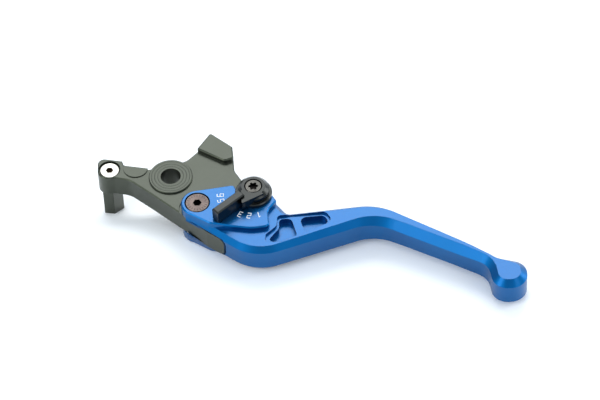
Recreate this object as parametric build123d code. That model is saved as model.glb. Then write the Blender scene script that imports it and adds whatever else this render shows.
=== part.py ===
from build123d import *
from math import atan2, degrees, radians, tan
import os

# Left-hand motorcycle clutch lever with a six-step reach adjuster.
# Millimetres. The origin is the centre of the bore for the handlebar perch pin. +Z runs along that bore
# towards the adjuster knob, +X points out to the finger end, +Y towards the handlebar.

# ---------------------------------------------------------------- driving dimensions: adapter
PLATE_T = 10.0  # adapter plate thickness
PLATE_CHAMFER = 0.45
BORE_R = 4.0  # bore for the perch pin
BOSS_R = 8.65  # raised ring around the perch bore
BOSS_RISE = 0.8  # on each face of the plate
BOSS_CHAMFER = 0.25
TONGUE_T = 9.0  # plate thickness between the blade's ears
TAB_RISE = 2.0  # raised pad of the piston tab
TAB_CHAMFER = 0.5
EYE = (-24.3, 5.6)  # post screw axis
ARM_PAD = (-13.9, 5.7)  # low round pad on the switch arm
ARM_PAD_R = 4.9
ARM_PAD_RISE = 0.4

# ---------------------------------------------------------------- driving dimensions: blade
BLADE_T = 13.5
EAR_RISE = 2.15  # dial plateau above the blade face
EAR_CLEAR = 0.1  # air between the tongue and each ear
BLADE_CHAMFER = 2.2
EAR_CHAMFER = 0.5
PIVOT = (10.45, -16.75)  # hinge between adapter and blade
PIVOT_EAR_R = 6.8
KNOB = (32.7, -13.7)  # adjuster axis
KNOB_EAR_R = 7.1
TIP_X = 137.3  # outer face of the finger ball
POCKET_STEP = 1.1  # shallow recess
POCKET_DEPTH = 3.8  # two deeper pockets inside it

# ---------------------------------------------------------------- driving dimensions: hinge hardware
PIN_R = 3.0  # shoulder of the pivot screw
RUN = 0.03  # running clearance on radius
SEAT = 0.02  # axial clearance of a part that turns on a face
BUSH_WALL = 1.0
WASHER_R = 6.0
WASHER_T = 0.32
WASHER_PROUD = 0.07  # washer face above the tongue, and its bore over the bush's
WASHER_POCKET = 0.2  # pocket radius over the washer's
HEAD_R = 4.75  # pivot screw head
HEAD_T = 2.2
HEAD_GAP = 0.3  # ring of air around a sunk head
HEAD_SINK = 0.1  # screw head and nut below the ear's face
HEAD_CHAMFER = 0.3
NUT_AF = 8.0
NUT_T = 2.7
NUT_CLEAR = 0.1  # pocket across flats over the nut's
THREAD_R = 2.5

# ---------------------------------------------------------------- driving dimensions: adjuster
STEPS_BACK = 2  # clicks from the rest position to number 1
STEPS_ON = 3  # clicks from the rest position to number 6
STEP_DEG = 21.2  # knob turn for one click
REACH_DEG = 1.2  # blade swing for one click
DISC_R = 7.3
DISC_T = 1.55
DISC_CLEAR = 0.05  # square hole over the end of the square
HUB_R = 6.2
HUB_RISE = 5.0  # hub above the dial
HUB_CHAMFER = 1.5
FIN_DEG = -139.3
FIN_R = 20.0
FIN_W = 3.4
FIN_RISE = 6.3  # fin above the dial
FIN_LIFT = 0.25  # air under the fin
WEB_CORNER = (28.0, -22.4)
JOURNAL_R = 3.7  # shaft in the upper ear
CAM_PASS = 0.37  # lower journal radius over the cam's reach, so the cam passes its hole
SQUARE_AF = 5.2
CAM_HEIGHT = 3.9  # cam radius that faces the contact pin at rest
CAM_GAP = 0.05
CAM_OVERRUN = 10.0  # degrees of cam past the first and last click
CAM_WASHER_T = 0.3
CAM_WASHER_RIM = 1.4
CAM_WASHER_ROOM = 1.4  # air round the cam washer where the adapter reaches over it
CONTACT_PIN_R = 1.25
NOSE_CLEAR = 0.7  # cam washer above the part of the adapter that carries the contact pin
KNOB_SCREW_R = 2.0
KNOB_SCREW_HEAD_R = 3.35
KNOB_SCREW_HEAD_T = 1.75
KNOB_SCREW_HEAD_GAP = 0.2
KNOB_SCREW_SINK = 0.15
KNOB_SCREW_LENGTH = 11.0
KNOB_SCREW_SPARE = 1.0  # threaded hole beyond the screw's end
O_RING_R = 0.4
BALL_R = 1.0
BALL_GAP = 0.05  # ball below the floor of its track
BALL_POCKET = 4.0  # depth of the hole for the ball and its spring
BALL_ORBIT = 5.3
BALL_DEG = -45.0
DETENT_DEPTH = 0.25
DETENT_TRACK = 0.45

# ---------------------------------------------------------------- driving dimensions: return plunger
TONGUE_R = 19.3  # tongue end, measured from the hinge
TONGUE_END_GAP = 0.8
TONGUE_ROUND = 2.6  # rounding of the tongue's end and of its slot
TONGUE_DEG = -33.0  # inner face of the tongue
WEB_DEG = -27.0  # face of the blade that the plunger pushes
PLUNGER_ARM = 15.5
PLUNGER_R = 1.5
PLUNGER_IN = 3.2
SPRING_LENGTH = 3.0
WIRE_R = 0.2

# ---------------------------------------------------------------- driving dimensions: switch post
POST_LENGTH = 15.6
POST_SCREW_R = 2.0
POST_SCREW_CLEAR = 0.2
POST_HEAD_R = 3.85
POST_HEAD_T = 2.1  # cone under the head
POST_HEAD_GAP = 0.5  # ring of air round the rim
CONE_GAP = 0.1
POST_RIM = 0.7  # straight rim of the head
POST_SINK = 0.5  # head below the adapter's face
POST_THREAD = 9.5  # depth of the post's threaded hole
DOWEL_R = 0.75
DOWEL_LENGTH = 5.0
DOWEL_OFFSET = (2.7, 1.6)  # from the post screw

HALF = PLATE_T / 2
TONGUE_HALF = TONGUE_T / 2
BLADE_HALF = BLADE_T / 2
EAR_TOP = BLADE_HALF + EAR_RISE
GAP_HALF = TONGUE_HALF + EAR_CLEAR
HUB_TOP = EAR_TOP + HUB_RISE
FIN_TOP = EAR_TOP + FIN_RISE
KNOB_SCREW_TOP = HUB_TOP - KNOB_SCREW_SINK
NOSE_HALF = GAP_HALF - CAM_WASHER_T - NOSE_CLEAR
WASHER_LOW = TONGUE_HALF + WASHER_PROUD - WASHER_T
PIVOT_V = Vector(*PIVOT)
KNOB_V = Vector(*KNOB)
ARM = KNOB_V - PIVOT_V  # from the hinge to the adjuster axis
ARM_DEG = degrees(atan2(ARM.Y, ARM.X))
REACH_RATIO = REACH_DEG / STEP_DEG
CAM_REACH = CAM_HEIGHT + REACH_RATIO * radians(STEP_DEG * STEPS_ON + CAM_OVERRUN) * ARM.length
LOWER_JOURNAL_R = CAM_REACH + CAM_PASS
DOWEL = Vector(EYE[0] + DOWEL_OFFSET[0], EYE[1] + DOWEL_OFFSET[1])
PIN_DISTANCE = CAM_HEIGHT + CAM_GAP + CONTACT_PIN_R
PIN_V = KNOB_V + Vector(PIN_DISTANCE, 0).rotate(Axis.Z, ARM_DEG + 90)


def polar(centre, radius, angle):
    return centre + Vector(radius, 0).rotate(Axis.Z, angle)


def loop(corners):
    """A face from corners (x, y, radius): straight runs joined by tangent arcs."""
    outline = Polyline(*[(x, y) for x, y, _ in corners], close=True)
    face = make_face(outline)
    for x, y, radius in corners:
        if radius > 0:
            corner = face.vertices().sort_by_distance((x, y, 0))[0]
            face = fillet(corner, radius)
    return face


def slab(face, low, high):
    """The face extruded from height low to height high."""
    return extrude(Pos(0, 0, low) * face, amount=high - low)


def rod(centre, radius, low, high):
    return slab(Pos(centre.X, centre.Y) * Circle(radius), low, high)


def ring(centre, outer, inner, low, high):
    return rod(centre, outer, low, high) - rod(centre, inner, low, high)


def edges_at(solid, height):
    """Edges that lie flat at one height."""
    return solid.edges().filter_by_position(Axis.Z, height - 0.001, height + 0.001)


def both_faces(shape):
    """The shape with its mirror image below the middle plane."""
    return shape + mirror(shape, about=Plane.XY)


def hex_socket(centre, flats, top, depth):
    socket = Pos(centre.X, centre.Y) * RegularPolygon(flats / 2, 6, major_radius=False)
    return slab(socket, top - depth, top + 1)


def lobe_socket(centre, outer, inner, top, depth):
    """A six-lobed drive: a round core with six round notches."""
    core = rod(centre, inner, top - depth, top + 1)
    for k in range(6):
        core += rod(polar(centre, inner, 60 * k), outer - inner, top - depth, top + 1)
    return core


# ---------------------------------------------------------------- adapter
def adapter_outline():
    """Arm with the post eye, perch boss, piston tab and the two prongs between the blade's ears."""
    tongue_outer = polar(PIVOT_V, TONGUE_R + 1, -58.5)
    tongue_inner = polar(PIVOT_V, TONGUE_R + 1, TONGUE_DEG)
    crotch = polar(PIVOT_V, 9.0, TONGUE_DEG)
    nose = PIN_V + Vector(4.4, 0).rotate(Axis.Z, ARM_DEG)
    corners = [
        (-28.9, 12.0, 2.6),
        (-19.3, 9.9, 0.6),
        (-18.4, 6.9, 0.8),
        (-7.5, 4.6, 2.0),
        (-6.5, 6.6, 0),
        (3.5, 7.6, 3.0),
        (6.5, 8.6, 6.0),
        (10.7, 12.9, 2.0),
        (16.1, 21.0, 0.8),
        (24.8, 13.2, 1.0),
        (25.3, 2.2, 3.0),
        (28.4, -3.6, 1.5),
        (nose.X + 0.6, PIN_V.Y + 3.0, 1.5),
        (nose.X + 0.8, nose.Y - 0.7, 0.8),
        (PIN_V.X - 5.0, PIN_V.Y - 1.3, 1.5),
        (20.6, -14.8, 2.0),
        (crotch.X, crotch.Y, 2.0),
        (tongue_inner.X, tongue_inner.Y, 0),
        (tongue_outer.X, tongue_outer.Y, 1.2),
        (13.9, -28.4, 4.0),
        (4.7, -19.6, 3.0),
        (-7.9, -7.9, 8.0),
        (-16.3, -0.4, 8.0),
        (-22.5, 1.2, 6.0),
        (-29.1, 0.8, 4.0),
    ]
    return loop(corners)


def tab_outline():
    """Raised pad at the end of the piston tab."""
    corners = [
        (10.7, 12.9, 0.5),
        (16.1, 21.0, 0.8),
        (24.8, 13.2, 1.0),
        (25.15, 7.3, 0.8),
        (21.6, 5.9, 2.2),
    ]
    return loop(corners)


def ear_relief():
    """Area of the plate that is milled down to the tongue thickness."""
    relief = Pos(PIVOT) * Circle(PIVOT_EAR_R + 0.6)
    relief += loop(
        [
            (PIVOT[0] - 1.4, PIVOT[1] + PIVOT_EAR_R + 0.5, 0),
            (25.4, -7.4, 0),
            (29.5, -4.6, 0),
            (45.0, -2.0, 0),
            (45.0, -50.0, 0),
            (2.7, -26.5, 0),
            (PIVOT[0], PIVOT[1], 0),
        ]
    )
    return relief


def make_adapter():
    plate = slab(adapter_outline(), -HALF, HALF)
    plate = chamfer(edges_at(plate, HALF) + edges_at(plate, -HALF), PLATE_CHAMFER)
    origin = Vector(0, 0)
    boss = rod(origin, BOSS_R, -HALF - BOSS_RISE, HALF + BOSS_RISE)
    boss = chamfer(edges_at(boss, HALF + BOSS_RISE) + edges_at(boss, -HALF - BOSS_RISE), BOSS_CHAMFER)
    pad = slab(tab_outline(), 0, HALF + TAB_RISE)
    pad = chamfer(edges_at(pad, HALF + TAB_RISE), TAB_CHAMFER)
    boss_area = rod(origin, BOSS_R, HALF - 1, HALF + 1)
    relief = slab(ear_relief(), TONGUE_HALF, HALF + BOSS_RISE) - boss_area
    arm_pad = rod(Vector(*ARM_PAD), ARM_PAD_R, HALF - PLATE_CHAMFER, HALF + ARM_PAD_RISE)
    arm_pad &= slab(adapter_outline(), 0, HALF + ARM_PAD_RISE)
    washer_pocket = rod(PIVOT_V, WASHER_R + WASHER_POCKET, WASHER_LOW, HALF)
    cam_washer_room = rod(KNOB_V, JOURNAL_R + CAM_WASHER_RIM + CAM_WASHER_ROOM, NOSE_HALF, GAP_HALF)
    body = plate + boss + both_faces(pad) + both_faces(arm_pad)
    body -= both_faces(relief)
    body -= rod(origin, BORE_R, -HALF - 1, HALF + 1)
    body -= rod(PIVOT_V, PIN_R + RUN + BUSH_WALL, -HALF, HALF)
    body -= both_faces(washer_pocket)
    body -= both_faces(cam_washer_room)
    body -= rod(PIN_V, CONTACT_PIN_R, -GAP_HALF, GAP_HALF)
    eye = Vector(*EYE)
    screw_hole = POST_SCREW_R + POST_SCREW_CLEAR
    cone_top = HALF - POST_SINK - POST_RIM
    cone = Cone(screw_hole, POST_HEAD_R + CONE_GAP, POST_HEAD_T)
    body -= rod(eye, screw_hole, -HALF, HALF)
    body -= rod(eye, POST_HEAD_R + POST_HEAD_GAP, cone_top, HALF + 1)
    body -= Pos(EYE[0], EYE[1], cone_top - POST_HEAD_T / 2) * cone
    body -= rod(DOWEL, DOWEL_R, -HALF, -HALF + DOWEL_LENGTH / 2)
    body -= tongue_end()
    body -= plunger_bore()
    return body


# ---------------------------------------------------------------- switch post
def make_switch_post():
    """Post that works the clutch switch: a flat at the back and one wide bevel."""
    low = -HALF - POST_LENGTH
    corners = [(-27.7, 2.8), (-23.6, 1.6), (-20.0, 6.0), (-20.1, 8.4), (-27.2, 8.4)]
    post = slab(loop([(x, y, 0.35) for x, y in corners]), low, -HALF)
    post = chamfer(edges_at(post, low), 0.3)
    eye = Vector(*EYE)
    post -= rod(eye, POST_SCREW_R, -HALF - POST_THREAD, -HALF)
    post -= rod(DOWEL, DOWEL_R, -HALF - DOWEL_LENGTH / 2, -HALF)
    return post


def make_post_screw():
    eye = Vector(*EYE)
    top = HALF - POST_SINK
    cone_top = top - POST_RIM
    rim = rod(eye, POST_HEAD_R, cone_top, top)
    head = Pos(EYE[0], EYE[1], cone_top - POST_HEAD_T / 2) * Cone(POST_SCREW_R, POST_HEAD_R, POST_HEAD_T)
    screw = chamfer(edges_at(rim, top), 0.2) + head
    screw += rod(eye, POST_SCREW_R, -HALF - POST_THREAD + 0.5, cone_top - POST_HEAD_T)
    return screw - hex_socket(eye, 2.5, top, 1.7)


def make_post_dowel():
    pin = rod(DOWEL, DOWEL_R, -HALF - DOWEL_LENGTH / 2, -HALF + DOWEL_LENGTH / 2)
    return chamfer(pin.edges().filter_by(GeomType.CIRCLE), 0.15)


# ---------------------------------------------------------------- blade
def blade_outline():
    """Fork end, bend, finger hump and ball in one closed outline."""
    tip = TIP_X
    corners = [
        (5.6, -21.6, 0),
        (31.98, -42.56, 18.0),
        (79.5, -26.9, 18.0),
        (tip - 14.7, -50.8, 8.0),
        (tip - 13.2, -62.9, 6.2),
        (tip + 0.0, -62.7, 6.6),
        (tip - 0.1, -50.9, 6.0),
        (tip - 12.0, -47.5, 8.0),
        (82.0, -18.1, 24.0),
        (45.4, -21.5, 3.0),
        (40.9, -15.2, 0),
        (KNOB[0] + 6.0, KNOB[1] - 2.0, 0),
        (PIVOT[0] + 2.0, PIVOT[1] + 4.0, 0),
    ]
    return loop(corners)


def ear_outline():
    """Dial plateau: a web from the hinge eye to the knob, with the dial's lobe in front."""
    face = Pos(PIVOT) * Circle(PIVOT_EAR_R - 0.4)
    face += Pos(KNOB) * Circle(KNOB_EAR_R)
    face += loop(
        [
            (PIVOT[0] - 1.05, PIVOT[1] + PIVOT_EAR_R - 0.5, 0),
            (24.9, -8.35, 1.4),
            (26.6, -12.5, 0),
            (39.0, -12.6, 0),
            (41.6, -17.4, 0.8),
            (38.0, -22.2, 4.0),
            (38.5, -30.1, 2.0),
            (31.6, -30.9, 14.0),
            (24.0, -29.5, 10.0),
            (15.0, -27.4, 3.0),
            (PIVOT[0] - 4.6, PIVOT[1] - PIVOT_EAR_R + 2.4, 0),
        ]
    )
    return face


def round_disc(radius, half):
    """A disc about the hinge with a rounded rim, for the tongue's end and the slot it swings in."""
    disc = rod(PIVOT_V, radius, -half, half)
    return fillet(disc.edges().filter_by(GeomType.CIRCLE), TONGUE_ROUND)


def tongue_end():
    """What is cut away outside the tongue's rounded end."""
    corner = polar(PIVOT_V, 30.0, TONGUE_DEG + 3)
    sector = make_face(Polyline(PIVOT_V, corner, (30.0, -45.0), (10.0, -45.0), close=True))
    return slab(sector, -HALF, HALF) - round_disc(TONGUE_R, TONGUE_HALF)


def slot_solid():
    """The slot in front of the hinge, as far as the tongue reaches."""
    sweep_r = TONGUE_R + TONGUE_END_GAP
    web = polar(PIVOT_V, sweep_r + 8, WEB_DEG)
    corners = [polar(PIVOT_V, 2.0, 60), web, (30.0, -50.0), (-8.0, -50.0), (-8.0, -20.0)]
    sector = make_face(Polyline(*corners, close=True))
    return slab(sector, -GAP_HALF, GAP_HALF) & round_disc(sweep_r, GAP_HALF)


def fork_cut():
    """Plan of the space between the ears: the hinge, the cam and the adapter's nose."""
    cut = Pos(PIVOT) * Circle(12.0)
    inner = polar(PIVOT_V, 11.5, WEB_DEG)
    cavity = CAM_REACH + 0.6
    left = polar(KNOB_V, cavity, 200.0)
    cut += Pos(KNOB) * Circle(cavity)
    cut += make_face(
        Polyline(
            left,
            inner,
            (2.0, -24.0),
            (2.0, 0.0),
            (46.0, 0.0),
            (46.0, -9.8),
            (KNOB[0] + cavity, KNOB[1] + 1.5),
            KNOB_V,
            close=True,
        )
    )
    return cut


def pocket_faces():
    """The shallow recess beside the dial and its two deeper pockets."""
    recess = loop(
        [
            (41.7, -23.4, 1.6),
            (60.6, -22.3, 2.6),
            (63.4, -27.3, 2.4),
            (42.6, -36.8, 6.0),
            (36.2, -36.4, 1.6),
            (36.9, -32.6, 1.2),
            (41.2, -28.6, 3.0),
        ]
    )
    left = loop(
        [
            (42.2, -24.5, 1.8),
            (47.1, -24.4, 2.2),
            (49.1, -33.0, 1.4),
            (42.0, -35.9, 4.0),
            (37.3, -35.4, 1.2),
            (42.2, -29.0, 3.0),
        ]
    )
    right = loop([(50.1, -24.1, 2.2), (59.9, -23.5, 2.2), (62.0, -27.3, 2.0), (52.3, -31.7, 2.0)])
    return recess, left + right


def make_blade():
    body = slab(blade_outline(), -BLADE_HALF, BLADE_HALF)
    rims = edges_at(body, BLADE_HALF) + edges_at(body, -BLADE_HALF)
    outer = [e for e in rims if e.center().X > 42 or e.center().Y < -24]
    body = chamfer(outer, BLADE_CHAMFER)
    ear = slab(ear_outline(), 0, EAR_TOP)
    ear = chamfer(edges_at(ear, EAR_TOP), EAR_CHAMFER)
    body += both_faces(ear)
    body -= slab(fork_cut(), -GAP_HALF, GAP_HALF)
    body -= slot_solid()
    recess, deep = pocket_faces()
    body -= both_faces(slab(recess, BLADE_HALF - POCKET_STEP, EAR_TOP))
    body -= both_faces(slab(deep, BLADE_HALF - POCKET_DEPTH, EAR_TOP))
    body -= rod(PIVOT_V, PIN_R + RUN, -EAR_TOP, EAR_TOP)
    body -= rod(PIVOT_V, HEAD_R + HEAD_GAP, EAR_TOP - HEAD_T - HEAD_SINK, EAR_TOP + 1)
    nut = Pos(PIVOT) * RegularPolygon((NUT_AF + NUT_CLEAR) / 2, 6, major_radius=False)
    body -= slab(nut, -EAR_TOP - 1, -EAR_TOP + NUT_T + HEAD_SINK)
    body -= rod(KNOB_V, JOURNAL_R + RUN, 0, EAR_TOP + 1)
    body -= rod(KNOB_V, LOWER_JOURNAL_R + RUN, -EAR_TOP - 1, 0)
    ball = polar(KNOB_V, BALL_ORBIT, BALL_DEG)
    body -= rod(ball, BALL_R + RUN, EAR_TOP - BALL_POCKET, EAR_TOP + 1)
    return body


# ---------------------------------------------------------------- hinge hardware
def make_pivot_screw():
    seat = EAR_TOP - HEAD_T - HEAD_SINK
    nut_face = -EAR_TOP + NUT_T + HEAD_SINK
    screw = rod(PIVOT_V, HEAD_R, seat, seat + HEAD_T)
    screw = chamfer(edges_at(screw, seat + HEAD_T), HEAD_CHAMFER)
    screw += rod(PIVOT_V, PIN_R, nut_face, seat)
    screw += rod(PIVOT_V, THREAD_R, -EAR_TOP + 0.3, nut_face)
    return screw - hex_socket(PIVOT_V, 3.0, seat + HEAD_T, 1.8)


def make_pivot_nut():
    nut_face = -EAR_TOP + NUT_T + HEAD_SINK
    hexagon = Pos(PIVOT) * RegularPolygon(NUT_AF / 2, 6, major_radius=False)
    nut = slab(hexagon, nut_face - NUT_T, nut_face)
    return nut - rod(PIVOT_V, THREAD_R, -EAR_TOP - 1, nut_face + 1)


def make_pivot_bush():
    return ring(PIVOT_V, PIN_R + RUN + BUSH_WALL, PIN_R + RUN, -WASHER_LOW, WASHER_LOW)


def make_washer(side):
    bore = PIN_R + RUN + WASHER_PROUD
    washer = ring(PIVOT_V, WASHER_R, bore, WASHER_LOW, WASHER_LOW + WASHER_T)
    return washer if side > 0 else mirror(washer, about=Plane.XY)


# ---------------------------------------------------------------- adjuster
def cam_point(turn):
    """Cam surface that faces the contact pin when the knob has turned by this many degrees."""
    def pin_centre(angle):
        swung = (PIN_V - PIVOT_V).rotate(Axis.Z, -REACH_RATIO * angle) + PIVOT_V
        return (swung - KNOB_V).rotate(Axis.Z, -angle)

    here = pin_centre(turn)
    along = (pin_centre(turn + 0.5) - pin_centre(turn - 0.5)).normalized()
    inward = along.rotate(Axis.Z, -90)
    if inward.dot(here) > 0:
        inward = inward * -1
    return KNOB_V + here + inward * (CONTACT_PIN_R + CAM_GAP)


def cam_section():
    """A rising spiral over the clicks, closed by an arc behind."""
    first = -STEP_DEG * STEPS_ON - CAM_OVERRUN
    last = STEP_DEG * STEPS_BACK + CAM_OVERRUN
    count = 14
    points = [cam_point(first + (last - first) * k / count) for k in range(count + 1)]
    low = points[0]
    high = points[-1]
    back_radius = ((low - KNOB_V).length + (high - KNOB_V).length) / 2
    back = polar(KNOB_V, back_radius, ARM_DEG + 270 - (first + last) / 2)
    return make_face(Spline(*points) + ThreePointArc(high, back, low))


def make_cam_shaft():
    cam_top = GAP_HALF - SEAT - CAM_WASHER_T
    bottom = -EAR_TOP + 0.1
    shaft = slab(cam_section(), -GAP_HALF, cam_top)
    shaft += rod(KNOB_V, LOWER_JOURNAL_R, bottom, -GAP_HALF)
    shaft += rod(KNOB_V, JOURNAL_R, cam_top, EAR_TOP)
    shaft += slab(Pos(KNOB) * Rectangle(SQUARE_AF, SQUARE_AF), EAR_TOP, EAR_TOP + DISC_T)
    shaft -= rod(KNOB_V, KNOB_SCREW_R, HUB_TOP - KNOB_SCREW_LENGTH - KNOB_SCREW_SPARE, HUB_TOP)
    shaft -= ring(KNOB_V, JOURNAL_R + 1, JOURNAL_R - 2 * O_RING_R + RUN, *o_ring_band())
    slot = Pos(KNOB) * Rectangle(7.0, 1.4)
    return shaft - slab(slot, bottom - 1, bottom + 1.2)


def o_ring_band():
    middle = (GAP_HALF + EAR_TOP) / 2
    return middle - O_RING_R - 0.05, middle + O_RING_R + 0.05


def make_o_ring():
    low, high = o_ring_band()
    return Pos(KNOB[0], KNOB[1], (low + high) / 2) * Torus(JOURNAL_R - O_RING_R + RUN, O_RING_R - 0.01)


def make_cam_washer():
    top = GAP_HALF - SEAT
    return ring(KNOB_V, JOURNAL_R + CAM_WASHER_RIM, JOURNAL_R + RUN, top - CAM_WASHER_T, top)


def make_contact_pin():
    return rod(PIN_V, CONTACT_PIN_R, -NOSE_HALF, NOSE_HALF)


def make_adjuster_knob():
    low = EAR_TOP + SEAT
    disc_top = EAR_TOP + DISC_T + DISC_CLEAR
    knob = rod(KNOB_V, DISC_R, low, disc_top)
    knob = chamfer(edges_at(knob, disc_top), 0.4)
    hub = rod(KNOB_V, HUB_R, low, HUB_TOP)
    web = loop(
        [
            (*WEB_CORNER, 0.4),
            (KNOB[0] + 3.9, KNOB[1] - 4.2, 0),
            (KNOB[0], KNOB[1], 0),
            (WEB_CORNER[0] - 0.2, KNOB[1] - 2.0, 0),
        ]
    )
    fin_in = DISC_R - 1.2
    fin = Pos((fin_in + FIN_R) / 2, 0) * Rectangle(FIN_R - fin_in, FIN_W)
    fin_body = slab(Pos(KNOB) * Rot(0, 0, FIN_DEG) * fin, low + FIN_LIFT, FIN_TOP)
    fin_body = chamfer(edges_at(fin_body, FIN_TOP), 0.45)
    knob += chamfer(edges_at(hub, HUB_TOP), HUB_CHAMFER)
    knob += slab(web, EAR_TOP + DISC_T, HUB_TOP)
    knob += fin_body
    floor = KNOB_SCREW_TOP - KNOB_SCREW_HEAD_T
    knob -= rod(KNOB_V, KNOB_SCREW_HEAD_R + KNOB_SCREW_HEAD_GAP, floor, FIN_TOP + 1)
    knob -= rod(KNOB_V, KNOB_SCREW_R, low, floor)
    knob -= slab(Pos(KNOB) * Rectangle(SQUARE_AF, SQUARE_AF), EAR_TOP, EAR_TOP + DISC_T)
    knob -= ring(KNOB_V, BALL_ORBIT + 0.75, BALL_ORBIT - 0.75, low, EAR_TOP + DETENT_TRACK)
    for click in range(-STEPS_ON, STEPS_BACK + 1):
        dimple = polar(KNOB_V, BALL_ORBIT, BALL_DEG - STEP_DEG * click)
        knob -= rod(dimple, 0.6, low, EAR_TOP + DETENT_TRACK + DETENT_DEPTH)
    return knob


def make_knob_screw():
    floor = KNOB_SCREW_TOP - KNOB_SCREW_HEAD_T
    screw = rod(KNOB_V, KNOB_SCREW_HEAD_R, floor, KNOB_SCREW_TOP)
    screw = chamfer(edges_at(screw, KNOB_SCREW_TOP), 0.25)
    screw += rod(KNOB_V, KNOB_SCREW_R, HUB_TOP - KNOB_SCREW_LENGTH, floor)
    return screw - lobe_socket(KNOB_V, 1.9, 1.35, KNOB_SCREW_TOP, 1.2)


def ball_height():
    return EAR_TOP + DETENT_TRACK - BALL_GAP - BALL_R


def make_detent_ball():
    centre = polar(KNOB_V, BALL_ORBIT, BALL_DEG)
    return Pos(centre.X, centre.Y, ball_height()) * Sphere(BALL_R)


def coil(radius, length, turns, wire):
    """A compression spring standing on the XY plane."""
    helix = Helix(pitch=(length - 2 * wire) / turns, height=length - 2 * wire, radius=radius)
    section = Plane(origin=helix @ 0, z_dir=helix % 0) * Circle(wire)
    return Pos(0, 0, wire) * sweep(section, path=helix)


def make_detent_spring():
    low = EAR_TOP - BALL_POCKET
    length = ball_height() - 0.75 * BALL_R - low
    centre = polar(KNOB_V, BALL_ORBIT, BALL_DEG)
    return Pos(centre.X, centre.Y, low) * coil(0.72, length, 3, 0.16)


# ---------------------------------------------------------------- return plunger
def plunger_frame():
    """X runs along the plunger from the tongue's inner face towards the blade's web."""
    face = polar(PIVOT_V, PLUNGER_ARM, TONGUE_DEG)
    return Pos(face.X, face.Y) * Rot(0, 0, TONGUE_DEG + 90) * Rot(0, 90, 0)


def plunger_bore():
    depth = PLUNGER_IN + SPRING_LENGTH
    return plunger_frame() * Pos(0, 0, -depth / 2 + 1) * Cylinder(PLUNGER_R + RUN, depth + 2)


def make_return_plunger():
    gap = PLUNGER_ARM * tan(radians(WEB_DEG - TONGUE_DEG))
    reach = gap - 0.25
    body = Pos(0, 0, (reach - PLUNGER_IN) / 2) * Cylinder(PLUNGER_R, reach + PLUNGER_IN)
    body = fillet(body.edges().sort_by(Axis.Z)[-1], 0.9)
    return plunger_frame() * body


def make_return_spring():
    return plunger_frame() * Pos(0, 0, -PLUNGER_IN - SPRING_LENGTH) * coil(1.1, SPRING_LENGTH, 4, WIRE_R)


# ---------------------------------------------------------------- parts
PARTS = {
    "adapter": make_adapter,
    "switch_post": make_switch_post,
    "post_screw": make_post_screw,
    "post_dowel": make_post_dowel,
    "blade": make_blade,
    "pivot_screw": make_pivot_screw,
    "pivot_nut": make_pivot_nut,
    "pivot_bush": make_pivot_bush,
    "upper_washer": lambda: make_washer(1),
    "lower_washer": lambda: make_washer(-1),
    "adjuster_knob": make_adjuster_knob,
    "knob_screw": make_knob_screw,
    "cam_shaft": make_cam_shaft,
    "shaft_o_ring": make_o_ring,
    "cam_washer": make_cam_washer,
    "contact_pin": make_contact_pin,
    "detent_ball": make_detent_ball,
    "detent_spring": make_detent_spring,
    "return_plunger": make_return_plunger,
    "return_spring": make_return_spring,
}

os.makedirs("parts", exist_ok=True)
for name, make in PARTS.items():
    shape = make()
    export_step(shape, f"parts/{name}.step")
    print(name, round(shape.volume, 2), "mm3")
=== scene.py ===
"""Left-hand clutch lever: anodised blade, blasted black adapter and a numbered reach dial.

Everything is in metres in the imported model's frame: +Z along the perch bore, +X to the finger end.
"""
import math

import bmesh
import bpy
from mathutils import Matrix, Vector


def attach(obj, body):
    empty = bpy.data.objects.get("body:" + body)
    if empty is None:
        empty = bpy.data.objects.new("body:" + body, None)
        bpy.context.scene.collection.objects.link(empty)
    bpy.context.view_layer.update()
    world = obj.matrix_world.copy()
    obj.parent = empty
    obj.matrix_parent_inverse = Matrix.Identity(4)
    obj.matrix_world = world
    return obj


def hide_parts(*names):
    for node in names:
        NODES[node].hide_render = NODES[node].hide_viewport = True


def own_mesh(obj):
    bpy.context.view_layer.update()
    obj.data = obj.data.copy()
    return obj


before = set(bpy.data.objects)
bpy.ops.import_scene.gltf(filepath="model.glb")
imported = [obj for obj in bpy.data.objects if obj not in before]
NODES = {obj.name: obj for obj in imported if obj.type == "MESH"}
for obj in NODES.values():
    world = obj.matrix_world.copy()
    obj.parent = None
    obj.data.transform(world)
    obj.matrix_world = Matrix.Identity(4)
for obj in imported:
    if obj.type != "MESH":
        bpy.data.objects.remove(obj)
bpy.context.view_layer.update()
MM = 0.001

# ---------------------------------------------------------------- sizes shared with the construction, in mm
PIVOT = (10.45, -16.75)
KNOB = (32.7, -13.7)
EYE = (-24.3, 5.6)
BLADE_HALF = 6.75
BLADE_CHAMFER = 2.2
BOSS_R = 8.65
BOSS_TOP = 5.8
DIAL_TOP = 8.9
POST_SCREW_TOP = 4.5
PIVOT_SCREW_TOP = 8.8
KNOB_SCREW_TOP = 13.75


# ---------------------------------------------------------------- small tools
def linear(hex_code):
    """An sRGB hex colour as linear RGBA."""
    channels = [int(hex_code[i : i + 2], 16) / 255 for i in (1, 3, 5)]
    return [c / 12.92 if c <= 0.04045 else ((c + 0.055) / 1.055) ** 2.4 for c in channels] + [1.0]


def new_object(name, data):
    """An object at the origin, in the scene."""
    made = bpy.data.objects.new(name, data)
    bpy.context.scene.collection.objects.link(made)
    return made


def new_material(name, **settings):
    """A material with one Principled shader; settings are its uniform inputs."""
    material = bpy.data.materials.new(name)
    material.use_nodes = True
    shader = material.node_tree.nodes["Principled BSDF"]
    for key, value in settings.items():
        shader.inputs[key.replace("_", " ")].default_value = value
    return material, material.node_tree, shader


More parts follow.
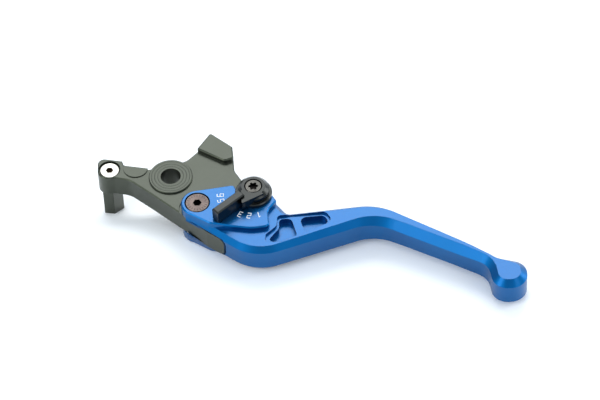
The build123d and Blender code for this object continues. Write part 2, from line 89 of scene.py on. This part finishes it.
def add(tree, kind, inputs=None, stops=(), **properties):
    """Adds a node with its settings and links.

    inputs gives each input, by name or number, a value or another node's output. stops are a colour
    ramp's (position, colour) pairs, and properties are the node's own.
    """
    made = tree.nodes.new(kind)
    for name, value in properties.items():
        setattr(made, name, value)
    for name, value in (inputs or {}).items():
        if isinstance(value, bpy.types.NodeSocket):
            tree.links.new(value, made.inputs[name])
        else:
            made.inputs[name].default_value = value
    for _ in stops[2:]:
        made.color_ramp.elements.new(0.5)
    for k, (position, colour) in enumerate(stops):
        made.color_ramp.elements[k].position = position
        made.color_ramp.elements[k].color = colour
    return made


# ---------------------------------------------------------------- anodised aluminium
EDGE_BREAK = 0.16  # radius that tumbling and blasting leave on a machined edge, in mm
DYE_DRIFT = 14  # distance over which the dye and the gloss drift, in mm
TINT_LOW, TINT_HIGH = 0.35, 0.65  # noise values between which a colour drifts
GLOSS_LOW, GLOSS_HIGH = 0.7, 1.3  # values of grain and drift together between which the gloss breaks up
BOSS_PITCH = 2.2  # of the rings turned on the boss, in mm
BOSS_FADE = (0.5, 0.2)  # in mm inside the boss's edge, where its turned rings fade out
# How level a face lies: an upright wall, the flattest and steepest milled chamfer, and a lapped flat.
FACING = (0.2, 0.55, 0.8, 0.95)


def tint(tree, shader, source, low, high):
    """Slow drift between two close colours, as dye takes up unevenly."""
    stops = [(TINT_LOW, linear(low)), (TINT_HIGH, linear(high))]
    colour = add(tree, "ShaderNodeValToRGB", {"Fac": source}, stops)
    tree.links.new(colour.outputs["Color"], shader.inputs["Base Color"])


def blasted(tree, shader, grit_mm, depth_mm, rough, colours):
    """Dimples and soft edges from bead blasting, gloss that breaks up at the same grain, and uneven dye.

    Real grit is near 0.1 mm. It is drawn two to four times as coarse, so that it shows.
    """
    place = add(tree, "ShaderNodeTexCoord").outputs["Object"]
    fine = {"Vector": place, "Scale": 1 / (grit_mm * MM), "Detail": 2.0}
    slow = {"Vector": place, "Scale": 1 / (DYE_DRIFT * MM), "Detail": 3.0}
    grain = add(tree, "ShaderNodeTexNoise", fine).outputs["Fac"]
    drift = add(tree, "ShaderNodeTexNoise", slow).outputs["Fac"]
    both = add(tree, "ShaderNodeMath", {0: grain, 1: drift}, operation="ADD").outputs[0]
    spread = {"From Min": GLOSS_LOW, "From Max": GLOSS_HIGH, "To Min": rough[0], "To Max": rough[1]}
    gloss = add(tree, "ShaderNodeMapRange", {"Value": both, **spread})
    tree.links.new(gloss.outputs[0], shader.inputs["Roughness"])
    tint(tree, shader, drift, *colours)
    rim = add(tree, "ShaderNodeBevel", {"Radius": EDGE_BREAK * MM}, samples=6).outputs["Normal"]
    dimples = {"Height": grain, "Normal": rim, "Strength": 0.35, "Distance": depth_mm * MM}
    normal = add(tree, "ShaderNodeBump", dimples).outputs["Normal"]
    tree.links.new(normal, shader.inputs["Normal"])
    return normal


def seal_by_facing(tree, shader, wall, chamfer, flat):
    """Coat weight by how level a face lies: lapped flats keep a glossier seal than the milled chamfers."""
    facing = add(tree, "ShaderNodeTexCoord").outputs["Normal"]
    upright = add(tree, "ShaderNodeSeparateXYZ", {0: facing}).outputs["Z"]
    level = add(tree, "ShaderNodeMath", {0: upright}, operation="ABSOLUTE").outputs[0]
    stops = [(z, (coat, coat, coat, 1)) for z, coat in zip(FACING, (wall, chamfer, chamfer, flat))]
    seal = add(tree, "ShaderNodeValToRGB", {"Fac": level}, stops)
    tree.links.new(seal.outputs["Color"], shader.inputs["Coat Weight"])


def black_anodised():
    """Black hard-anodised aluminium, bead blasted: a warm grey sheen over a near-black dye.

    The boss keeps faint turned rings, drawn far wider than the lathe's feed of about 0.1 mm.
    """
    material, tree, shader = new_material("black_hard_anodised", Metallic=1.0, Coat_Roughness=0.3)
    seal_by_facing(tree, shader, wall=0.4, chamfer=0.0, flat=0.45)
    colours = ("#3f4339", "#464a40")
    blasting = blasted(tree, shader, grit_mm=0.35, depth_mm=0.02, rough=(0.40, 0.50), colours=colours)
    place = add(tree, "ShaderNodeTexCoord").outputs["Object"]
    turning = {"Vector": place, "Scale": 1 / (BOSS_PITCH * MM), "Distortion": 0.2}
    rings = add(tree, "ShaderNodeTexWave", turning, wave_type="RINGS", rings_direction="Z").outputs["Fac"]
    across = add(tree, "ShaderNodeVectorMath", {0: place, 1: (1, 1, 0)}, operation="MULTIPLY").outputs[0]
    reach = add(tree, "ShaderNodeVectorMath", {0: across}, operation="LENGTH").outputs["Value"]
    start, end = [(BOSS_R - inside) * MM for inside in BOSS_FADE]
    fade = {"Value": reach, "From Min": start, "From Max": end, "To Min": 0.5, "To Max": 0.0}
    on_boss = add(tree, "ShaderNodeMapRange", fade).outputs[0]
    turned = add(tree, "ShaderNodeMath", {0: rings, 1: on_boss}, operation="MULTIPLY").outputs[0]
    relief = {"Height": turned, "Normal": blasting, "Strength": 0.25, "Distance": 0.02 * MM}
    tree.links.new(add(tree, "ShaderNodeBump", relief).outputs["Normal"], shader.inputs["Normal"])
    return material


def blue_anodised():
    """Clear blue dye over blasted aluminium: a deep colour with a soft metallic highlight."""
    material, tree, shader = new_material("blue_satin_anodised", Metallic=1.0, Coat_Roughness=0.18)
    seal_by_facing(tree, shader, wall=0.4, chamfer=0.12, flat=0.6)
    colours = ("#00548f", "#015a95")
    blasted(tree, shader, grit_mm=0.30, depth_mm=0.012, rough=(0.40, 0.48), colours=colours)
    return material


def knob_anodised():
    """Black anodised knob, turned and blasted: darker and glossier than the adapter."""
    name = "knob_black_anodised"
    material, tree, shader = new_material(name, Metallic=1.0, Coat_Weight=0.5, Coat_Roughness=0.22)
    colours = ("#181b19", "#1e211f")
    blasted(tree, shader, grit_mm=0.25, depth_mm=0.01, rough=(0.28, 0.36), colours=colours)
    return material


# ---------------------------------------------------------------- steel and the small inner pieces
TURNING_PITCH = 1.6  # of a screw head's rings, in mm; the real feed of 0.1 mm is too fine to show
SMEAR = 2.5  # size of the darker smears on turned steel, in mm


def turned_steel(name, low, high, centre, roughness):
    """Lathe-turned steel: rings round its own axis that stretch the highlight."""
    material, tree, shader = new_material(name, Metallic=1.0, Roughness=roughness)
    place = add(tree, "ShaderNodeTexCoord").outputs["Object"]
    to_axis = (-centre[0] * MM, -centre[1] * MM, 0)
    centred = add(tree, "ShaderNodeMapping", {"Vector": place, "Location": to_axis}).outputs[0]
    turning = {"Vector": centred, "Scale": 1 / (TURNING_PITCH * MM), "Distortion": 0.6}
    rings = add(tree, "ShaderNodeTexWave", turning, wave_type="RINGS", rings_direction="Z").outputs["Fac"]
    clouds = {"Vector": place, "Scale": 1 / (SMEAR * MM), "Detail": 4.0}
    cloud = add(tree, "ShaderNodeTexNoise", clouds).outputs["Fac"]
    mixed = add(tree, "ShaderNodeMath", {0: rings, 1: cloud}, operation="MULTIPLY").outputs[0]
    stops = [(0.15, linear(low)), (0.5, linear(high))]
    colour = add(tree, "ShaderNodeValToRGB", {"Fac": mixed}, stops)
    tree.links.new(colour.outputs["Color"], shader.inputs["Base Color"])
    relief = {"Height": rings, "Strength": 0.2, "Distance": 0.01 * MM}
    tree.links.new(add(tree, "ShaderNodeBump", relief).outputs["Normal"], shader.inputs["Normal"])
    return material


def plain_finish(name, low, high, grain_mm, **settings):
    """A close pair of colours and a fine grain."""
    material, tree, shader = new_material(name, **settings)
    place = add(tree, "ShaderNodeTexCoord").outputs["Object"]
    clouds = {"Vector": place, "Scale": 1 / (grain_mm * MM), "Detail": 3.0}
    cloud = add(tree, "ShaderNodeTexNoise", clouds).outputs["Fac"]
    tint(tree, shader, cloud, low, high)
    relief = {"Height": cloud, "Strength": 0.3, "Distance": 0.01 * MM}
    tree.links.new(add(tree, "ShaderNodeBump", relief).outputs["Normal"], shader.inputs["Normal"])
    return material


BLACK = black_anodised()
BLUE = blue_anodised()
KNOB_BLACK = knob_anodised()
# Drive recesses, darkened as painted shade where light can't reach: bronze-brown and dull in the post screw,
# a brown tone with painted shade over it; near black in the pivot and knob screws, all of it painted shade.
SOCKET_BROWN_AND_PAINTED_SHADE = plain_finish("socket_brown_steel_and_painted_shade", "#4a3d30", "#6e5c48", 0.4, Metallic=1.0, Roughness=0.5)
SOCKET_PAINTED_SHADE = plain_finish("socket_painted_shade", "#12100f", "#1e1b19", 0.4, Metallic=1.0, Roughness=0.5)
# Turned heads: a warm grey hinge screw, a nearly white stainless one and a dull grey one in the knob.
SCREW_STEEL = turned_steel("pivot_screw_turned_steel", "#4d4442", "#756963", PIVOT, 0.38)
POST_STEEL = turned_steel("post_screw_stainless", "#a29f97", "#c4c2b9", EYE, 0.3)
KNOB_STEEL = turned_steel("knob_screw_grey_steel", "#3c3b38", "#66645f", KNOB, 0.36)
# Ground shaft and balls: bright, with a sharp highlight.
SHAFT_STEEL = turned_steel("cam_shaft_ground_steel", "#8a8a88", "#c4c4c2", KNOB, 0.25)
BRIGHT = plain_finish("ground_steel", "#b9b9b6", "#d2d2cf", 0.6, Metallic=1.0, Roughness=0.25)
# Blackened steel: a dark satin skin.
BLACK_OXIDE = plain_finish("black_oxide_steel", "#1c1c1d", "#2a2a2b", 0.5, Metallic=0.9, Roughness=0.4)
# Sintered bronze: brown, dull and finely porous.
BRONZE = plain_finish("sintered_bronze", "#8a6230", "#a27a42", 0.3, Metallic=1.0, Roughness=0.5)
# Unfilled acetal: milky white with a soft sheen.
ACETAL = plain_finish("natural_acetal", "#dcdad2", "#e6e4dd", 0.8, Roughness=0.45)
# Moulded rubber: matt black.
NITRILE = plain_finish("nitrile_rubber", "#141414", "#1c1c1c", 0.4, Roughness=0.6)
# Filling paint in the dial's digits: cool white, slightly uneven.
PAINT = plain_finish("white_paint_fill", "#e9edf2", "#f6f8fb", 0.3, Roughness=0.5)


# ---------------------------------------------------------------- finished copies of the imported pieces
MERGE_GAP = 0.002  # in mm, below which corners are one
FLAT_ANGLE = math.radians(0.6)  # below which neighbouring triangles are one flat face
SHARP_ANGLE = math.radians(32)  # above which an edge is sharp
SOCKET_STEP = 0.02  # in mm, how far below the head's top a socket's faces lie at least


def line_socket(work, centre, radius, top):
    """Gives the second material, painted shade, to the faces inside a drive socket, sizes in mm."""
    for face in work.faces:
        middle = face.calc_center_median() / MM
        inside = math.hypot(middle.x - centre[0], middle.y - centre[1]) < radius
        face.material_index = int(inside and middle.z < top - SOCKET_STEP)


def finished(node, body, material, edge_mm, reshape=None, socket=None):
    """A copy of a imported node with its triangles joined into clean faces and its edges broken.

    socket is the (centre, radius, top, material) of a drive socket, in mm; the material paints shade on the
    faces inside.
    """
    mesh = NODES[node].data.copy()
    mesh.materials.clear()
    mesh.attributes.remove(mesh.attributes["custom_normal"])
    work = bmesh.new()
    work.from_mesh(mesh)
    bmesh.ops.remove_doubles(work, verts=work.verts, dist=MERGE_GAP * MM)
    bmesh.ops.dissolve_limit(work, angle_limit=FLAT_ANGLE, verts=work.verts, edges=work.edges)
    if reshape:
        reshape(work)
    mesh.materials.append(material)
    if socket:
        line_socket(work, *socket[:3])
        mesh.materials.append(socket[3])
    work.to_mesh(mesh)
    work.free()
    mesh.shade_smooth()
    mesh.set_sharp_from_angle(angle=SHARP_ANGLE)
    piece = new_object("finished_" + node, mesh)
    if edge_mm:
        bevel = piece.modifiers.new("broken_edges", "BEVEL")
        bevel.width = edge_mm * MM
        bevel.segments = 2
        bevel.limit_method = "ANGLE"
        bevel.angle_limit = SHARP_ANGLE
        bevel.use_clamp_overlap = True
    smooth = piece.modifiers.new("even_shading", "WEIGHTED_NORMAL")
    smooth.keep_sharp = True
    smooth.weight = 80
    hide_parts(node)
    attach(piece, body)
    return piece


# Width of the blade's chamfer along its front and its back edge: (x, width) in mm.
FRONT_CHAMFER = [
    (8, 1.2),
    (16, 1.8),
    (50, 1.8),
    (62, 2.1),
    (75, 2.6),
    (92, 3.1),
    (112, 3.1),
    (125, 2.5),
    (140, 2.5),
]
BACK_CHAMFER = [(8, 2.2), (80, 2.2), (92, 1.7), (112, 0.9), (122, 0.9), (129, 2.5), (140, 2.5)]
FINGER_SLOPE = math.radians(-31.5)
CUT_START = (90.0, -26.0)  # first of the cuts across the fingers, which let their chamfer bend, in mm
CUT_STEP = 3.0
CUTS = 10
CHAMFER_FACING = (0.6, 0.8)  # how level a chamfer face lies
LEAST_FACE = 1e-10  # in square metres, below which a face has no sure direction
HEIGHT_SLACK = 2e-6  # in metres
CUT_SNAP = 1e-7  # in metres


def chamfer_width(table, x):
    """Chamfer at a place along the blade, in metres."""
    for (x0, c0), (x1, c1) in zip(table, table[1:]):
        if x / MM <= x1:
            return (c0 + (c1 - c0) * max(0.0, (x / MM - x0) / (x1 - x0))) * MM
    return table[-1][1] * MM


def vary_chamfer(work):
    """Lets the blade's chamfers widen and narrow along the fingers, as their cutter path does."""
    along = Vector((math.cos(FINGER_SLOPE), math.sin(FINGER_SLOPE), 0))
    for k in range(CUTS):
        step = CUT_STEP * k
        place = Vector((CUT_START[0] + step, CUT_START[1] + step * math.tan(FINGER_SLOPE), 0)) * MM
        everything = work.verts[:] + work.edges[:] + work.faces[:]
        bmesh.ops.bisect_plane(work, geom=everything, plane_co=place, plane_no=along, dist=CUT_SNAP)
    top, low = BLADE_HALF * MM, (BLADE_HALF - BLADE_CHAMFER) * MM
    least, most = CHAMFER_FACING
    moves = []
    for vert in work.verts:
        height = abs(vert.co.z)
        faces = [f for f in vert.link_faces if f.calc_area() > LEAST_FACE]
        slopes = [f.normal for f in faces if least < abs(f.normal.z) < most]
        if not slopes or not low - HEIGHT_SLACK < height < top + HEIGHT_SLACK:
            continue
        outward = sum((Vector((n.x, n.y)) for n in slopes), Vector((0, 0))).normalized()
        table = FRONT_CHAMFER if outward.y < 0 else BACK_CHAMFER
        extra = chamfer_width(table, vert.co.x) - BLADE_CHAMFER * MM
        share = (height - low) / (top - low)
        inward = -outward * extra * share
        down = -math.copysign(extra * (1 - share), vert.co.z)
        moves.append((vert, Vector((inward.x, inward.y, down))))
    for vert, move in moves:
        vert.co += move


# Drive sockets: (centre, radius, top of the head, finish inside); the finish inside is painted shade.
POST_SOCKET = (EYE, 1.6, POST_SCREW_TOP, SOCKET_BROWN_AND_PAINTED_SHADE)
PIVOT_SOCKET = (PIVOT, 1.9, PIVOT_SCREW_TOP, SOCKET_PAINTED_SHADE)
KNOB_SOCKET = (KNOB, 2.0, KNOB_SCREW_TOP, SOCKET_PAINTED_SHADE)
finished("adapter", "adapter", BLACK, edge_mm=0.15)
finished("switch_post", "adapter", BLACK, edge_mm=0.12)
finished("post_screw", "adapter", POST_STEEL, edge_mm=0.08, socket=POST_SOCKET)
finished("blade", "blade", BLUE, edge_mm=0, reshape=vary_chamfer)
finished("pivot_screw", "blade", SCREW_STEEL, edge_mm=0.08, socket=PIVOT_SOCKET)
finished("pivot_nut", "blade", SCREW_STEEL, edge_mm=0.10)
finished("adjuster_knob", "knob", KNOB_BLACK, edge_mm=0.15)
finished("knob_screw", "knob", KNOB_STEEL, edge_mm=0.06, socket=KNOB_SOCKET)
finished("cam_shaft", "knob", SHAFT_STEEL, edge_mm=0.08)

# The detent spring gets a mesh of its own.
spring = finished("detent_spring", "blade", BRIGHT, edge_mm=0)
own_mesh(spring)

INNER = {
    "post_dowel": BRIGHT,
    "pivot_bush": BRONZE,
    "upper_washer": ACETAL,
    "lower_washer": ACETAL,
    "shaft_o_ring": NITRILE,
    "cam_washer": ACETAL,
    "contact_pin": BRIGHT,
    "detent_ball": BRIGHT,
    "return_plunger": BLACK_OXIDE,
    "return_spring": BRIGHT,
}
for name, material in INNER.items():
    NODES[name].data.materials.clear()
    NODES[name].data.materials.append(material)


# ---------------------------------------------------------------- turned rings and head marks
SIZES = {
    "Count": "NodeSocketInt",
    "First Radius": "NodeSocketFloat",
    "Step": "NodeSocketFloat",
    "Thickness": "NodeSocketFloat",
    "Finish": "NodeSocketMaterial",
}
RING_SIDES = 96
SECTION_SIDES = 6
FLATTEN_MARKS = 0.3


def swept_tree(name, rings):
    """Lines swept by a fine round section: rings whose radius grows by Step, or rays that are Step long."""
    tree = bpy.data.node_groups.new(name, "GeometryNodeTree")
    for label, kind in SIZES.items():
        tree.interface.new_socket(label, in_out="INPUT", socket_type=kind)
    tree.interface.new_socket("Mesh", in_out="OUTPUT", socket_type="NodeSocketGeometry")
    sizes = add(tree, "NodeGroupInput").outputs
    index = add(tree, "GeometryNodeInputIndex").outputs["Index"]
    if rings:
        points = add(tree, "GeometryNodeMeshLine", {"Count": sizes["Count"], "Offset": (0, 0, 0)})
        reach = {0: index, 1: sizes["Step"], 2: sizes["First Radius"]}
        scale = add(tree, "ShaderNodeMath", reach, operation="MULTIPLY_ADD")
        line = add(tree, "GeometryNodeCurvePrimitiveCircle", {"Resolution": RING_SIDES, "Radius": 1.0})
        pose = {"Scale": scale.outputs[0]}
    else:
        circle = {"Vertices": sizes["Count"], "Radius": sizes["First Radius"]}
        points = add(tree, "GeometryNodeMeshCircle", circle)
        share = add(tree, "ShaderNodeMath", {0: index, 1: sizes["Count"]}, operation="DIVIDE")
        angle = add(tree, "ShaderNodeMath", {0: share.outputs[0], 1: 2 * math.pi}, operation="MULTIPLY")
        euler = add(tree, "ShaderNodeCombineXYZ", {"Z": angle.outputs[0]})
        turn = add(tree, "FunctionNodeEulerToRotation", {0: euler.outputs[0]})
        end = add(tree, "ShaderNodeCombineXYZ", {"X": sizes["Step"]})
        line = add(tree, "GeometryNodeCurvePrimitiveLine", {"End": end.outputs[0]})
        pose = {"Rotation": turn.outputs[0]}
    pose.update({"Points": points.outputs["Mesh"], "Instance": line.outputs["Curve"]})
    placed = add(tree, "GeometryNodeInstanceOnPoints", pose)
    lines = add(tree, "GeometryNodeRealizeInstances", {"Geometry": placed.outputs["Instances"]})
    half = add(tree, "ShaderNodeMath", {0: sizes["Thickness"], 1: 0.5}, operation="MULTIPLY")
    round_section = {"Radius": half.outputs[0], "Resolution": SECTION_SIDES}
    section = add(tree, "GeometryNodeCurvePrimitiveCircle", round_section)
    path, profile = lines.outputs["Geometry"], section.outputs["Curve"]
    sweep = {"Curve": path, "Profile Curve": profile, "Fill Caps": True}
    swept = add(tree, "GeometryNodeCurveToMesh", sweep)
    whole = add(tree, "GeometryNodeRealizeInstances", {"Geometry": swept.outputs["Mesh"]})
    surface = {"Geometry": whole.outputs["Geometry"], "Material": sizes["Finish"]}
    finish = add(tree, "GeometryNodeSetMaterial", surface)
    add(tree, "NodeGroupOutput", {"Mesh": finish.outputs["Geometry"]})
    return tree


def marks(name, tree, centre, height, body, values):
    """The tree's result as one plain mesh, pressed nearly flat at a height in mm above a centre."""
    source = new_object(name + "_source", bpy.data.meshes.new(name + "_start"))
    modifier = source.modifiers.new("marks", "NODES")
    modifier.node_group = tree
    for item in tree.interface.items_tree:
        if item.in_out == "INPUT":
            modifier[item.identifier] = values[item.name]
    evaluated = source.evaluated_get(bpy.context.evaluated_depsgraph_get())
    mesh = bpy.data.meshes.new_from_object(evaluated)
    bpy.data.objects.remove(source)
    place = Matrix.Translation(Vector((*centre, height)) * MM)
    mesh.transform(place @ Matrix.Diagonal((1, 1, FLATTEN_MARKS, 1)))
    piece = new_object(name, mesh)
    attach(piece, body)


RINGS = swept_tree("turned_rings", rings=True)
RAYS = swept_tree("head_marks", rings=False)
RING_SIZES = {
    "Count": 3,
    "First Radius": 5.1 * MM,
    "Step": 1.25 * MM,
    "Thickness": 0.3 * MM,
    "Finish": BLACK,
}
RAY_SIZES = {
    "Count": 20,
    "First Radius": 3.1 * MM,
    "Step": 0.9 * MM,
    "Thickness": 0.2 * MM,
    "Finish": BLACK_OXIDE,
}
marks("boss_rings_top", RINGS, (0, 0), BOSS_TOP, "adapter", RING_SIZES)
marks("boss_rings_under", RINGS, (0, 0), -BOSS_TOP, "adapter", RING_SIZES)
marks("pivot_screw_marks", RAYS, PIVOT, PIVOT_SCREW_TOP, "blade", RAY_SIZES)


# ---------------------------------------------------------------- dial digits
DIGIT_HEIGHT = 2.5
DIGIT_WIDTH = 1.5
STROKE = 0.42
FLATTEN_PAINT = 0.12
GRID_WIDTH, GRID_HEIGHT = 2, 3
# Each digit as strokes on that grid, in squared lettering.
DIGITS = {
    1: [[(0.4, 2.4), (1.1, 3.0), (1.1, 0.0)]],
    2: [[(0.1, 3.0), (1.9, 3.0), (1.9, 1.6), (0.1, 1.4), (0.1, 0.0), (1.9, 0.0)]],
    3: [[(0.1, 3.0), (1.9, 3.0), (1.9, 0.0), (0.1, 0.0)], [(0.5, 1.5), (1.9, 1.5)]],
    4: [[(1.4, 0.0), (1.4, 3.0), (0.0, 1.0), (2.0, 1.0)]],
    5: [[(1.9, 3.0), (0.2, 3.0), (0.2, 1.7), (1.9, 1.7), (1.9, 0.0), (0.1, 0.0)]],
    6: [[(1.8, 3.0), (0.1, 3.0), (0.1, 0.0), (1.9, 0.0), (1.9, 1.6), (0.1, 1.6)]],
}
# digit: (angle round the knob in degrees, radius in mm)
DIGIT_PLACES = {
    1: (-81.0, 10.8),
    2: (-100.8, 11.1),
    3: (-118.5, 11.5),
    4: (-143.0, 12.4),
    5: (-168.0, 13.2),
    6: (179.5, 13.1),
}


def digit_mesh(digit, angle, radius):
    """One digit as thin raised paint, its foot towards the knob."""
    curve = bpy.data.curves.new(f"digit_{digit}", "CURVE")
    curve.dimensions = "3D"
    curve.bevel_depth = STROKE / 2
    curve.bevel_resolution = 1
    curve.use_fill_caps = True
    for stroke in DIGITS[digit]:
        line = curve.splines.new("POLY")
        line.points.add(len(stroke) - 1)
        for point, (x, y) in zip(line.points, stroke):
            point.co = ((x / GRID_WIDTH - 0.5) * DIGIT_WIDTH, (y / GRID_HEIGHT - 0.5) * DIGIT_HEIGHT, 0, 1)
    source = bpy.data.objects.new("digit_source", curve)
    mesh = bpy.data.meshes.new_from_object(source)
    bpy.data.objects.remove(source)
    bearing = math.radians(angle)
    centre = Vector(KNOB) + Vector((math.cos(bearing), math.sin(bearing))) * radius
    on_dial = Matrix.Translation((centre.x, centre.y, DIAL_TOP))
    turn = Matrix.Rotation(bearing - math.pi / 2, 4, "Z")
    flatten = Matrix.Diagonal((1, 1, FLATTEN_PAINT, 1))
    mesh.transform(Matrix.Scale(MM, 4) @ on_dial @ turn @ flatten)
    mesh.materials.clear()
    mesh.materials.append(PAINT)
    return mesh


for digit, (angle, radius) in DIGIT_PLACES.items():
    piece = new_object(f"dial_digit_{digit}", digit_mesh(digit, angle, radius))
    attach(piece, "blade")


# ---------------------------------------------------------------- white paper sweep, in metres
PAPER_HALF = 1.6
PAPER_PITCH = 0.0173  # rise towards the finger end, per metre
UNDER_NUT = -0.00895
DIP = 0.0118  # how far the paper falls away behind the lever
DIP_START = -0.02
DIP_LENGTH = 0.034
DIP_PLACES = (-0.01, 0.0, 0.007, 0.014)


def paper():
    """White studio paper: it touches the pivot nut and the finger end, and falls away gently behind them."""
    falls = [(y, 0.5 - 0.5 * math.cos(math.pi * (y - DIP_START) / DIP_LENGTH)) for y in DIP_PLACES]
    profile = [(-PAPER_HALF, 0), (DIP_START, 0), *falls, (PAPER_HALF, 1)]
    verts = []
    for y, fall in profile:
        for x in (-PAPER_HALF, PAPER_HALF):
            verts.append((x, y, UNDER_NUT + PAPER_PITCH * (x - PIVOT[0] * MM) - DIP * fall))
    faces = [(2 * i, 2 * i + 1, 2 * i + 3, 2 * i + 2) for i in range(len(profile) - 1)]
    mesh = bpy.data.meshes.new("paper")
    mesh.from_pydata(verts, [], faces)
    mesh.materials.append(new_material("white_paper", Roughness=0.9, Base_Color=linear("#ffffff"))[0])
    mesh.shade_smooth()
    return new_object("paper", mesh)


paper()


# ---------------------------------------------------------------- light
MIDDLE = (0.05, -0.02, 0)
# name: (place, size, power in watts)
LIGHTS = {
    "back_softbox": ((0.05, 0.77, 0.92), (0.9, 0.6), 6.3),
    "left_softbox": ((-0.90, -0.60, 0.70), (0.7, 0.7), 7.0),
    "right_softbox": ((1.10, 0.30, 0.35), (0.5, 0.6), 4.5),
    "front_softbox": ((0.95, -0.75, 0.75), (0.6, 0.6), 2.5),
}
for name, (place, size, watts) in LIGHTS.items():
    lamp = bpy.data.lights.new(name, "AREA")
    lamp.shape = "RECTANGLE"
    lamp.size, lamp.size_y = size
    lamp.energy = watts
    light = new_object(name, lamp)
    light.location = place
    light.rotation_euler = (Vector(MIDDLE) - Vector(place)).to_track_quat("-Z", "Y").to_euler()

world = bpy.data.worlds.new("studio_air")
world.use_nodes = True
air = world.node_tree.nodes["Background"].inputs
air["Color"].default_value = linear("#e4f0fa")
air["Strength"].default_value = 0.95
bpy.context.scene.world = world

# ---------------------------------------------------------------- camera
CAMERA_PLACE = (0.05079, -0.89992, 1.06015)
TILT = math.radians(40)  # from straight down
ROLL = math.radians(-2.5)

lens = bpy.data.cameras.new("camera")
lens.sensor_width = 36.0
lens.lens = 210.0
lens.clip_start = 0.05
lens.clip_end = 20.0
camera = new_object("camera", lens)
turn = Matrix.Rotation(TILT, 4, "X") @ Matrix.Rotation(ROLL, 4, "Z")
camera.matrix_world = Matrix.Translation(CAMERA_PLACE) @ turn
bpy.context.scene.camera = camera
bpy.context.scene.view_settings.view_transform = "Standard"
